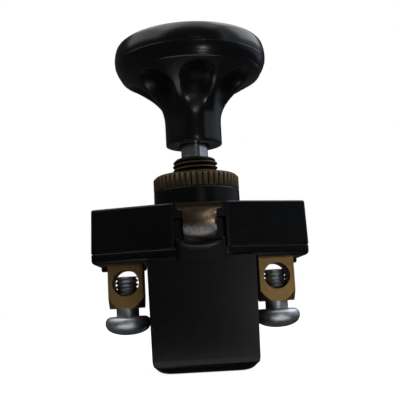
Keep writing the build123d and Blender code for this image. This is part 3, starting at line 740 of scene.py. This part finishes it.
rough = add(
    tree, "ShaderNodeMapRange",
    {"Value": patina.outputs["Fac"], 1: 0.3, 2: 0.7, 3: 0.42, 4: 0.62},
)
bump = add(
    tree, "ShaderNodeBump",
    {"Height": patina.outputs["Fac"], "Strength": 0.5, "Distance": 0.03 * MM},
)
link(tree, shader, Base_Color=colour.outputs[2], Roughness=rough.outputs[0],
     Normal=bump.outputs[0])
aged_brass = material

low, high = (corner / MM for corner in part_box("threaded_bush"))
bush = threaded(BUSH_MAJOR, BUSH_MINOR, BUSH_PITCH, low.z + 0.8, high.z, 64)
for point in bush.verts:
    # a chamfer of 45 degrees at the top
    reach = hypot(point.co.x, point.co.y)
    limit = 4.3 + (high.z - point.co.z)
    if reach > limit:
        point.co.x *= limit / reach
        point.co.y *= limit / reach
SEAT_RADIUS, SEAT_THICKNESS, SEAT_FLAT = 6.5, 1.6, 5.3
seat = turned(
    [(0, low.z), (SEAT_RADIUS, low.z), (SEAT_RADIUS, low.z + SEAT_THICKNESS),
     (0, low.z + SEAT_THICKNESS)],
    96,
)
for point in seat.verts:
    point.co.y = max(-SEAT_FLAT, min(SEAT_FLAT, point.co.y))
bush = combine(bush, seat, "UNION")
BORE_RADIUS, BORE_MOUTH = 3.05, 3.4
bore = turned(
    [(0, low.z - 1), (BORE_RADIUS, low.z - 1), (BORE_RADIUS, high.z - 0.3),
     (BORE_MOUTH, high.z + 0.05), (BORE_MOUTH, high.z + 1), (0, high.z + 1)],
    64,
)
bush = combine(bush, bore, "DIFFERENCE")
finish_piece(bush, "threaded_bush_m10", aged_brass, "housing", "aged_brass",
             "threaded_bush", sharp=40)

low, high = (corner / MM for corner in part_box("ring_nut"))
NUT_BORE = 5.05
nut = turned(
    [(NUT_BORE, low.z), (9.3, low.z), (9.42, low.z + 0.06), (NUT_RADIUS, low.z + 0.2)]
    + [(NUT_RADIUS, high.z - 0.6)]
    + [(NUT_RADIUS - 0.1 * step, high.z - 0.6 + 0.1 * step) for step in range(1, 6)]
    + [(8.85, high.z - 0.02), (8.75, high.z), (5.35, high.z), (NUT_BORE, high.z - 0.3),
       (NUT_BORE, low.z)],
    FLUTES * 12,
)
for point in nut.verts:
    reach = hypot(point.co.x, point.co.y)
    turn = atan2(point.co.y, point.co.x)
    limit = FLUTE_FLOOR + (NUT_RADIUS - FLUTE_FLOOR) * abs(sin(FLUTES * turn / 2)) ** 0.6
    if reach > limit:
        point.co.x *= limit / reach
        point.co.y *= limit / reach
finish_piece(nut, "ring_nut_fluted", aged_brass, "panel_nut", "aged_brass",
             "ring_nut", sharp=50)

# --- Mounting collar ------------------------------------------------------------------
# A thick washer of black phenolic, turned, that lies on the strap. The panel is clamped
# between its flat top and the ring nut.

dress(phenolic, "mounting_collar")

# --- Push rod ---------------------------------------------------------------------------
# Bright steel bar, centreless ground, so fine rings run round it and its shine is drawn
# out across them.

material, tree, shader, spot = new_finish("steel_rod_ground", Metallic=1.0)
rings = add(tree, "ShaderNodeMapping", {"Vector": spot, "Scale": (0.3, 0.3, 8.0)})
ground = add(
    tree, "ShaderNodeTexNoise", {"Vector": rings.outputs[0], "Scale": 1.0, "Detail": 4}
)
colour = add(
    tree, "ShaderNodeMix",
    {0: ground.outputs["Fac"], 6: linear("#c6c6c4"), 7: linear("#e4e4e1")},
    data_type="RGBA",
)
rough = add(
    tree, "ShaderNodeMapRange",
    {"Value": ground.outputs["Fac"], 1: 0.3, 2: 0.7, 3: 0.14, 4: 0.24},
)
bump = add(
    tree, "ShaderNodeBump",
    {"Height": ground.outputs["Fac"], "Strength": 0.2, "Distance": 0.005 * MM},
)
link(tree, shader, Base_Color=colour.outputs[2], Roughness=rough.outputs[0],
     Normal=bump.outputs[0])
dress(material, "push_rod")

# --- Knob -------------------------------------------------------------------------------
# One black phenolic moulding round a brass insert: a neck that flares to a wide dished
# rim with seven scoops for the fingers. The mould parts on the band, above the brim.


def arc(start, end, bulge, count):
    """Points on an arc; bulge is the height of the arc over its chord, to the right."""
    start, end = Vector(start), Vector(end)
    chord = end - start
    side = Vector((chord.y, -chord.x)).normalized()
    points = []
    for step in range(count + 1):
        share = step / count
        lift = 4 * bulge * share * (1 - share)
        points.append(tuple(start + chord * share + side * lift))
    return points


low, high = (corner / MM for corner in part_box("knob"))
neck_end = low.z
NECK_X, NECK_LENGTH = 6.3, 5.4
INSERT_X, INSERT_LENGTH = 4.53, 12.2
# the brim is the lower edge of the rim; above it come the band, parted by a fine
# flash line, its rounded shoulder and the dome
BRIM_RISE, BRIM_X = 16.0, 15.9
FLASH_RISE, BAND_X = 2.4, 17.0
BAND_RISE, BAND_TOP_X = 5.6, 16.85
DOME_FOOT, DOME_X = 6.9, 15.2
brim = neck_end + BRIM_RISE
flare = [
    tuple(point) for point in interpolate_bezier(
        (NECK_X, neck_end + 5.6), (6.6, neck_end + 9.6), (11.6, neck_end + 13.4),
        (15.55, brim - 0.45), 70,
    )
]
profile = (
    [(INSERT_X, neck_end + INSERT_LENGTH), (INSERT_X, neck_end + 0.17),
     (3.45, neck_end + 0.17), (3.4, neck_end + 0.1), (3.5, neck_end), (6.1, neck_end),
     (6.24, neck_end + 0.06), (NECK_X, neck_end + 0.2)]
    + [(NECK_X, neck_end + 0.2 + 5.2 * step / 6) for step in range(1, 7)]
    + flare
    + [(15.72, brim - 0.28), (15.83, brim - 0.12), (BRIM_X, brim + 0.1)]
    + arc((BRIM_X + 0.03, brim + 0.2), (16.97, brim + 2.3), 0.12, 12)[1:]
    + [(BAND_X, brim + 2.38), (17.04, brim + FLASH_RISE), (17.03, brim + 2.44)]
    + arc((17.03, brim + 2.5), (BAND_TOP_X, brim + BAND_RISE), 0.18, 14)[1:]
    + arc((BAND_TOP_X, brim + BAND_RISE), (DOME_X, brim + DOME_FOOT), 0.42, 12)[1:]
)
dome_rise = high.z - (brim + DOME_FOOT)
dome_radius = (DOME_X ** 2 + dome_rise ** 2) / (2 * dome_rise)
dome_turn = asin(DOME_X / dome_radius)
profile += [
    (dome_radius * sin(dome_turn * share), high.z - dome_radius * (1 - cos(dome_turn * share)))
    for share in [1 - step / 26 for step in range(1, 26)]
]
profile += [(0.0, high.z)]
knob = turned(profile, 420)
loose = [edge for edge in knob.edges if edge.is_boundary]
bmesh.ops.contextual_create(knob, geom=loose)
bmesh.ops.recalc_face_normals(knob, faces=knob.faces)
knob.normal_update()

# each scoop is a ball's print, drawn out towards the neck; the first one points a
# little to the right of the front
SCOOPS, SCOOP_RADIUS, SCOOP_TAPER = 7, 6.2, 0.3
SCOOP_DISTANCE, SCOOP_RISE = 13.4, 8.7
FIRST_SCOOP = radians(6.0 - 90.0)
scoop_centres = [
    Vector((
        SCOOP_DISTANCE * cos(FIRST_SCOOP + 2 * pi * place / SCOOPS),
        SCOOP_DISTANCE * sin(FIRST_SCOOP + 2 * pi * place / SCOOPS),
        neck_end + SCOOP_RISE,
    ))
    for place in range(SCOOPS)
]
# how wide a rib between two scoops is rounded, at the brim and at the neck
CRISP, SOFT = 0.45, 1.9
moves = []
hollow = knob.verts.layers.float.new("hollow")
for point in knob.verts:
    if not neck_end + 2 < point.co.z < brim or hypot(point.co.x, point.co.y) < 5:
        continue
    inward = -point.normal
    depth = 0.0
    for centre in scoop_centres:
        away = point.co - centre
        # narrower towards the neck, so that a scoop is drawn out to a drop
        across = Vector((-centre.y, centre.x, 0)).normalized()
        squeeze = SCOOP_TAPER * max(-away.z - 1.0, 0.0)
        away = away + across * away.dot(across) * squeeze
        path = inward + across * inward.dot(across) * squeeze
        along = away.dot(path)
        inside = along ** 2 + (SCOOP_RADIUS ** 2 - away.length_squared) * path.length_squared
        if inside <= 0 or (along < 0 and away.length > SCOOP_RADIUS):
            continue
        reach = (sqrt(inside) - along) / path.length_squared
        # the ribs are crisp at the brim and rounder towards the neck
        share = min(max((2.5 + centre.z - point.co.z) / 3.5, 0.0), 1.0)
        soft = CRISP + (SOFT - CRISP) * share ** 2 * (3 - 2 * share)
        blend = max(soft - abs(reach), 0.0) / soft
        depth = max(depth, max(reach, 0.0) + blend ** 2 * soft / 4)
    moves.append((point, inward * depth))
for point, move in moves:
    point.co += move
    point[hollow] = min(max(move.length - 0.35, 0.0), 1.0)
# wear has rounded the ribs below the middle of the scoops
ribs = [
    point for point in knob.verts
    if neck_end + 3 < point.co.z < neck_end + 9.5 and hypot(point.co.x, point.co.y) > 5
]
RUBS = 40
for _ in range(RUBS):
    bmesh.ops.smooth_vert(
        knob, verts=ribs, factor=0.5, use_axis_x=True, use_axis_y=True, use_axis_z=True
    )
# glossier than the housing, polished by hands
knob_finish = black_phenolic(
    "black_phenolic_knob", gloss=0.45, dull=0.26, bright=0.21, edge=0.1, dust=0.35
)
finish_piece(knob, "knob_scooped", knob_finish, "knob_and_rod", "phenolic", "knob",
             sharp=60)

# --- Floor, light and camera --------------------------------------------------------------
# A pale floor and a white surround. Large soft boxes stand left, right and above, two
# small ones in front. Dim cards and a window are there to be mirrored by the gloss.


def stage_plane(name, size, place, turn, material):
    """Add a plane to the set, which is no part of the switch."""
    shape = bmesh.new()
    bmesh.ops.create_grid(shape, x_segments=1, y_segments=1, size=0.5)
    bmesh.ops.scale(shape, vec=(*size, 1), verts=shape.verts)
    for angle, axis in zip(turn, "XZ"):
        bmesh.ops.rotate(
            shape, cent=(0, 0, 0), matrix=Matrix.Rotation(angle, 3, axis),
            verts=shape.verts,
        )
    bmesh.ops.translate(shape, vec=place, verts=shape.verts)
    mesh = bpy.data.meshes.new(name)
    shape.to_mesh(mesh)
    shape.free()
    mesh.materials.append(material)
    plane = bpy.data.objects.new(name, mesh)
    bpy.context.collection.objects.link(plane)
    plane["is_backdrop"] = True
    return plane


def new_light_tree(owner):
    """Empty the nodes of a material or a world, ready for others."""
    owner.use_nodes = True
    owner.node_tree.nodes.clear()
    return owner.node_tree


def seen_at_once(tree):
    """1 for rays from the camera, or by a mirror or a glass, and 0 for all others."""
    rays = add(tree, "ShaderNodeLightPath")
    seen = add(
        tree, "ShaderNodeMath",
        {0: rays.outputs["Is Camera Ray"], 1: rays.outputs["Is Glossy Ray"]},
        operation="MAXIMUM",
    )
    return add(
        tree, "ShaderNodeMath",
        {0: seen.outputs[0], 1: rays.outputs["Is Transmission Ray"]},
        operation="MAXIMUM",
    ).outputs[0]


def glowing_card(name, colour, strength):
    """A card that gives an even light."""
    card = bpy.data.materials.new(name)
    tree = new_light_tree(card)
    glow = add(tree, "ShaderNodeEmission", {"Color": linear(colour), "Strength": strength})
    add(tree, "ShaderNodeOutputMaterial", {"Surface": glow.outputs[0]})
    return card


# seen directly, the floor is almost white and keeps the switch's shadow
floor_paint = bpy.data.materials.new("floor_paint_matt")
tree = new_light_tree(floor_paint)
seen = seen_at_once(tree)
paint = add(tree, "ShaderNodeBsdfDiffuse", {"Color": (0.8, 0.8, 0.8, 1)})
faint = add(tree, "ShaderNodeBsdfDiffuse", {"Color": (0.35, 0.35, 0.35, 1)})
glow = add(tree, "ShaderNodeEmission", {"Color": (1, 1, 1, 1), "Strength": 0.9})
bright = add(tree, "ShaderNodeAddShader", {0: faint.outputs[0], 1: glow.outputs[0]})
both = add(
    tree, "ShaderNodeMixShader",
    {0: seen, 1: paint.outputs[0], 2: bright.outputs[0]},
)
add(tree, "ShaderNodeOutputMaterial", {"Surface": both.outputs[0]})
stage_plane("floor", (3.0, 2.055), (0, 0.9025, cad_low[2]), (0, 0), floor_paint)

# a dim and cool room, open at the back, with a pale window on the right
room_air = glowing_card("room_dim", "#f0f3ff", 0.05)
window_light = glowing_card("window_pale_blue", "#dbe6fa", 0.4)
for name, size, place, turn, glow in (
    ("room_front", (2.4, 1.5), (0, -1.0, 0.75), (pi / 2, 0), room_air),
    ("room_left", (2.3, 1.5), (-1.2, 0.05, 0.75), (pi / 2, pi / 2), room_air),
    ("room_top", (2.4, 1.9), (0, -0.1, 1.5), (0, 0), room_air),
    ("room_table", (2.4, 0.875), (0, -0.5625, cad_low[2]), (0, 0), room_air),
    ("window_right", (2.05, 1.5), (1.2, 0.125, 0.75), (pi / 2, pi / 2), window_light),
):
    card = stage_plane(name, size, place, turn, glow)
    card.visible_camera = False

# for reflections only: a dim wall behind and a dim table top, which is open over a
# bright patch in front of the switch
table = cad_low[2] + 0.0001
for name, size, place, turn in (
    ("room_back", (2.4, 1.5), (0, 1.15, 0.75), (pi / 2, 0)),
    ("table_back", (2.4, 1.1619), (0, 0.56895, table), (0, 0)),
    ("table_front", (2.4, 0.108), (0, -0.086, table), (0, 0)),
    ("table_left", (1.165, 0.02), (-0.6175, -0.022, table), (0, 0)),
    ("table_right", (1.165, 0.02), (0.6175, -0.022, table), (0, 0)),
):
    card = stage_plane(name, size, place, turn, room_air)
    card.visible_camera = card.visible_diffuse = card.visible_shadow = False

world = bpy.data.worlds.new("white_surround")
bpy.context.scene.world = world
tree = new_light_tree(world)
seen = seen_at_once(tree)
surround = add(tree, "ShaderNodeBackground", {"Color": (1, 1, 1, 1), "Strength": 0.55})
backdrop = add(tree, "ShaderNodeBackground", {"Color": (1, 1, 1, 1), "Strength": 1.0})
both = add(
    tree, "ShaderNodeMixShader",
    {0: seen, 1: surround.outputs[0], 2: backdrop.outputs[0]},
)
add(tree, "ShaderNodeOutputWorld", {"Surface": both.outputs[0]})

# each soft box: its place and width in metres, and its power in watts
MIDDLE = Vector((0, 0, 0.04))
for name, place, size, power in (
    ("soft_box_front", (0.10, -0.50, 0.06), 0.05, 0.05),
    ("soft_box_low", (0.03, -0.085, 0.007), 0.012, 0.004),
    ("soft_box_left", (-0.35, -0.10, 0.55), 0.70, 1.5),
    ("soft_box_right", (0.38, 0.12, 0.50), 0.55, 1.6),
    ("soft_box_top", (0.0, -0.05, 0.70), 0.90, 3.4),
):
    lamp = bpy.data.lights.new(name, "AREA")
    lamp.size = size
    lamp.energy = power
    soft_box = bpy.data.objects.new(name, lamp)
    bpy.context.collection.objects.link(soft_box)
    soft_box.location = place
    aim = MIDDLE - Vector(place)
    soft_box.rotation_euler = aim.to_track_quat("-Z", "Y").to_euler()

# the camera stands in front, close to the table, looks up a little and is tilted
CAMERA_PLACE, FOCAL_LENGTH = (-0.00409, -0.14994, 0.01416), 61.29
azimuth, pitch, roll = radians(1.82), radians(8.48), radians(-3.0)
ahead = Vector((sin(azimuth) * cos(pitch), cos(azimuth) * cos(pitch), sin(pitch)))
right = Vector((cos(azimuth), -sin(azimuth), 0))
up = right.cross(ahead)
right, up = cos(roll) * right + sin(roll) * up, cos(roll) * up - sin(roll) * right
lens = bpy.data.cameras.new("camera")
lens.sensor_width = 36.0
lens.lens = FOCAL_LENGTH
lens.clip_start = 0.005
camera = bpy.data.objects.new("camera", lens)
bpy.context.collection.objects.link(camera)
turned_to = Matrix((right, up, -ahead)).transposed().to_4x4()
camera.matrix_world = Matrix.Translation(CAMERA_PLACE) @ turned_to
bpy.context.scene.camera = camera
bpy.context.scene.view_settings.view_transform = "Standard"

low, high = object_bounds()
